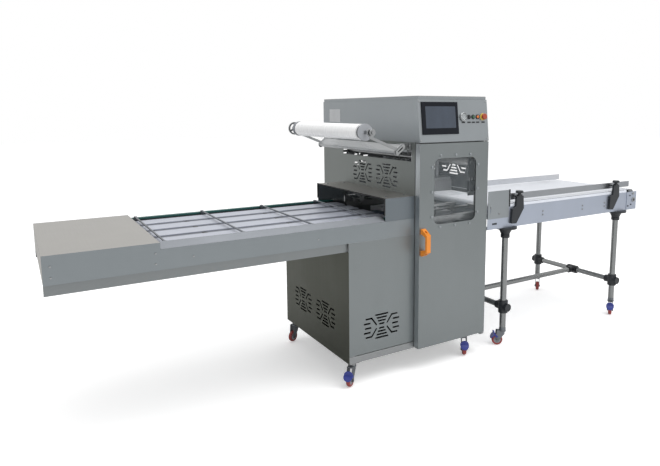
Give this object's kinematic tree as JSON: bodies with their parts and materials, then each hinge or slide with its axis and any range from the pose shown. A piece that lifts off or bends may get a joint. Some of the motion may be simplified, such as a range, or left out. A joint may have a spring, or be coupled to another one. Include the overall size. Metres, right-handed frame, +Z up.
{
  "type": "bowl sealing machine",
  "caption": "Free-standing bowl sealing machine with a slatted pusher infeed, a film unwind, a guarded sealing press under a control head, and a belt outfeed on casters.",
  "frame": {"origin": "centre of the bounding box's footprint, on the floor under the casters", "axes": "+X along the product flow from infeed to outfeed, +Y away from the operator, +Z up"},
  "size_m": [4.053, 1.265, 1.675],
  "materials": {
    "stainless": "satin brushed stainless sheet",
    "stainless_tube": "satin stainless tube and bar",
    "machined_aluminium": "machined, fine grain",
    "belt_white": "smooth food-grade belt",
    "slat_white": "low-friction plastic slats",
    "guide_green": "low-friction plastic",
    "black_plastic": "moulded black plastic",
    "screen_black": "moulded bezel with glass screen",
    "film": "wound lidding film",
    "window_clear": "clear safety pane",
    "handle_orange": "moulded orange plastic",
    "motor_paint": "blue-grey machine paint",
    "conveyor_panel": "satin sheet",
    "caster_steel": "grey zinc plate, blue pedal",
    "wheel_red": "red polyurethane tread, grey hub",
    "button_black": "black cap",
    "button_green": "dark green cap",
    "button_red": "red mushroom",
    "chain_steel": "oiled steel"
  },
  "bodies": {
    "machine": {"base_frame": "stainless_tube", "lower_panels": "stainless", "upper_rear_shell": "stainless", "right_panel": "stainless", "upper_left_panel": "stainless", "head_shell": "stainless", "control_panel": "stainless", "touch_panel": "screen_black", "vacuum_gauge": "stainless", "door_hinges": "stainless_tube", "film_cradle": "stainless_tube", "film_guide_bar": "stainless_tube", "film_web": "film", "press_frame": "machined_aluminium", "upper_mould": "machined_aluminium", "drive_motors": "motor_paint", "infeed_near_panel": "stainless", "infeed_far_panel": "stainless", "infeed_cover": "stainless", "infeed_bed": "slat_white", "infeed_chains": "chain_steel", "tunnel_hood": "stainless", "outfeed_frame": "conveyor_panel", "outfeed_belt": "belt_white", "outfeed_legs": "stainless_tube", "guide_rails": "stainless_tube"},
    "door": {"door_leaf": "stainless", "door_window": "window_clear", "door_handle": "handle_orange"},
    "film_reel": {"film_shaft": "black_plastic", "film_roll": "film"},
    "waste_winder": {"waste_winder": "film"},
    "lower_mould": {"lower_mould": "machined_aluminium"},
    "transfer_rails": {"transfer_rails": "stainless_tube"},
    "pusher_bars": {"pusher_bars": "stainless_tube"},
    "infeed_drive_shaft": {"infeed_drive_shaft": "chain_steel"},
    "infeed_tail_shaft": {"infeed_tail_shaft": "chain_steel"},
    "outfeed_drive_roller": {"outfeed_drive_roller": "stainless_tube"},
    "outfeed_tail_roller": {"outfeed_tail_roller": "stainless_tube"},
    "start_button": {"start_button": "button_black"},
    "stop_button": {"stop_button": "button_green"},
    "emergency_stop": {"emergency_stop": "button_red"},
    "left_knob": {"left_knob": "black_plastic"},
    "right_knob": {"right_knob": "black_plastic"},
    "cabinet_near_left_fork": {"cabinet_near_left_fork": "caster_steel"},
    "cabinet_near_left_wheel": {"cabinet_near_left_wheel": "wheel_red"},
    "cabinet_near_right_fork": {"cabinet_near_right_fork": "caster_steel"},
    "cabinet_near_right_wheel": {"cabinet_near_right_wheel": "wheel_red"},
    "cabinet_far_left_fork": {"cabinet_far_left_fork": "caster_steel"},
    "cabinet_far_left_wheel": {"cabinet_far_left_wheel": "wheel_red"},
    "cabinet_far_right_fork": {"cabinet_far_right_fork": "caster_steel"},
    "cabinet_far_right_wheel": {"cabinet_far_right_wheel": "wheel_red"},
    "conveyor_near_left_fork": {"conveyor_near_left_fork": "caster_steel"},
    "conveyor_near_left_wheel": {"conveyor_near_left_wheel": "wheel_red"},
    "conveyor_near_right_fork": {"conveyor_near_right_fork": "caster_steel"},
    "conveyor_near_right_wheel": {"conveyor_near_right_wheel": "wheel_red"},
    "conveyor_far_left_fork": {"conveyor_far_left_fork": "caster_steel"},
    "conveyor_far_left_wheel": {"conveyor_far_left_wheel": "wheel_red"},
    "conveyor_far_right_fork": {"conveyor_far_right_fork": "caster_steel"},
    "conveyor_far_right_wheel": {"conveyor_far_right_wheel": "wheel_red"}
  },
  "joints": [
    {"name": "door_hinge", "type": "hinge", "parent": "machine", "child": "door", "pos_m": [0.4495, -0.5645, 0.77], "axis": [0, 0, 1], "range_deg": [0, 100]},
    {"name": "film_spindle", "type": "hinge", "parent": "machine", "child": "film_reel", "pos_m": [-0.4145, -0.0805, 1.47], "axis": [0, 1, 0], "continuous": true},
    {"name": "waste_reel_spin", "type": "hinge", "parent": "machine", "child": "waste_winder", "pos_m": [0.3926, -0.0805, 1.265], "axis": [0, 1, 0], "continuous": true},
    {"name": "mould_lift", "type": "slide", "parent": "machine", "child": "lower_mould", "axis": [0, 0, 1], "range_m": [0, 0.12]},
    {"name": "transfer_stroke", "type": "slide", "parent": "machine", "child": "transfer_rails", "axis": [1, 0, 0], "range_m": [0, 0.1]},
    {"name": "infeed_drive", "type": "hinge", "parent": "machine", "child": "infeed_drive_shaft", "pos_m": [-0.1345, -0.0985, 0.912], "axis": [0, 1, 0], "range_deg": [0, 275]},
    {"name": "infeed_tail", "type": "hinge", "parent": "machine", "child": "infeed_tail_shaft", "pos_m": [-1.8645, -0.0985, 0.912], "axis": [0, 1, 0], "range_deg": [0, 276]},
    {"name": "pusher_travel", "type": "slide", "parent": "machine", "child": "pusher_bars", "axis": [1, 0, 0], "range_m": [0, 0.193]},
    {"name": "outfeed_drive", "type": "hinge", "parent": "machine", "child": "outfeed_drive_roller", "pos_m": [1.9805, -0.1605, 0.95], "axis": [0, 1, 0], "continuous": true},
    {"name": "outfeed_tail", "type": "hinge", "parent": "machine", "child": "outfeed_tail_roller", "pos_m": [0.5505, -0.1605, 0.95], "axis": [0, 1, 0], "continuous": true},
    {"name": "start_press", "type": "slide", "parent": "machine", "child": "start_button", "axis": [0, 0.9932, -0.1168], "range_m": [0, 0.004], "stiffness_N_per_m": 400, "springref_m": -0.002},
    {"name": "stop_press", "type": "slide", "parent": "machine", "child": "stop_button", "axis": [0, 0.9932, -0.1168], "range_m": [0, 0.004], "stiffness_N_per_m": 400, "springref_m": -0.002},
    {"name": "emergency_stop_press", "type": "slide", "parent": "machine", "child": "emergency_stop", "axis": [0, 0.9932, -0.1168], "range_m": [0, 0.005], "stiffness_N_per_m": 800, "springref_m": -0.002},
    {"name": "left_knob_turn", "type": "hinge", "parent": "machine", "child": "left_knob", "pos_m": [0.7375, -0.5835, 1.055], "axis": [0, 0, 1], "range_deg": [0, 360]},
    {"name": "right_knob_turn", "type": "hinge", "parent": "machine", "child": "right_knob", "pos_m": [1.7555, -0.5835, 1.055], "axis": [0, 0, 1], "range_deg": [0, 360]},
    {"name": "cabinet_near_left_swivel", "type": "hinge", "parent": "machine", "child": "cabinet_near_left_fork", "pos_m": [-0.4925, -0.4885, 0.11], "axis": [0, 0, 1], "continuous": true},
    {"name": "cabinet_near_left_roll", "type": "hinge", "parent": "cabinet_near_left_fork", "child": "cabinet_near_left_wheel", "pos_m": [-0.52008, -0.51005, 0.0375], "axis": [0.6157, -0.788, 0], "continuous": true},
    {"name": "cabinet_near_right_swivel", "type": "hinge", "parent": "machine", "child": "cabinet_near_right_fork", "pos_m": [0.3575, -0.4925, 0.11], "axis": [0, 0, 1], "continuous": true},
    {"name": "cabinet_near_right_roll", "type": "hinge", "parent": "cabinet_near_right_fork", "child": "cabinet_near_right_wheel", "pos_m": [0.33793, -0.52152, 0.0375], "axis": [0.829, -0.5592, 0], "continuous": true},
    {"name": "cabinet_far_left_swivel", "type": "hinge", "parent": "machine", "child": "cabinet_far_left_fork", "pos_m": [-0.4925, 0.2955, 0.11], "axis": [0, 0, 1], "continuous": true},
    {"name": "cabinet_far_left_roll", "type": "hinge", "parent": "cabinet_far_left_fork", "child": "cabinet_far_left_wheel", "pos_m": [-0.52369, 0.27961, 0.0375], "axis": [0.454, -0.891, 0], "continuous": true},
    {"name": "cabinet_far_right_swivel", "type": "hinge", "parent": "machine", "child": "cabinet_far_right_fork", "pos_m": [0.3655, 0.2955, 0.11], "axis": [0, 0, 1], "continuous": true},
    {"name": "cabinet_far_right_roll", "type": "hinge", "parent": "cabinet_far_right_fork", "child": "cabinet_far_right_wheel", "pos_m": [0.35353, 0.26261, 0.0375], "axis": [0.9397, -0.342, 0], "continuous": true},
    {"name": "conveyor_near_left_swivel", "type": "hinge", "parent": "machine", "child": "conveyor_near_left_fork", "pos_m": [0.6675, -0.5345, 0.097], "axis": [0, 0, 1], "continuous": true},
    {"name": "conveyor_near_left_roll", "type": "hinge", "parent": "conveyor_near_left_fork", "child": "conveyor_near_left_wheel", "pos_m": [0.6375, -0.51647, 0.0375], "axis": [-0.515, -0.8572, 0], "continuous": true},
    {"name": "conveyor_near_right_swivel", "type": "hinge", "parent": "machine", "child": "conveyor_near_right_fork", "pos_m": [1.8425, -0.5345, 0.097], "axis": [0, 0, 1], "continuous": true},
    {"name": "conveyor_near_right_roll", "type": "hinge", "parent": "conveyor_near_right_fork", "child": "conveyor_near_right_wheel", "pos_m": [1.81315, -0.55356, 0.0375], "axis": [0.5446, -0.8387, 0], "continuous": true},
    {"name": "conveyor_far_left_swivel", "type": "hinge", "parent": "machine", "child": "conveyor_far_left_fork", "pos_m": [0.6675, 0.2135, 0.097], "axis": [0, 0, 1], "continuous": true},
    {"name": "conveyor_far_left_roll", "type": "hinge", "parent": "conveyor_far_left_fork", "child": "conveyor_far_left_wheel", "pos_m": [0.63461, 0.22547, 0.0375], "axis": [-0.342, -0.9397, 0], "continuous": true},
    {"name": "conveyor_far_right_swivel", "type": "hinge", "parent": "machine", "child": "conveyor_far_right_fork", "pos_m": [1.8425, 0.2135, 0.097], "axis": [0, 0, 1], "continuous": true},
    {"name": "conveyor_far_right_roll", "type": "hinge", "parent": "conveyor_far_right_fork", "child": "conveyor_far_right_wheel", "pos_m": [1.81775, 0.18875, 0.0375], "axis": [0.7071, -0.7071, 0], "continuous": true}
  ],
  "couplings": [
    {"joint": "infeed_tail", "follows": "infeed_drive", "ratio": 1},
    {"joint": "pusher_travel", "follows": "infeed_drive", "m_per_rad": 0.04},
    {"joint": "outfeed_tail", "follows": "outfeed_drive", "ratio": 1}
  ]
}
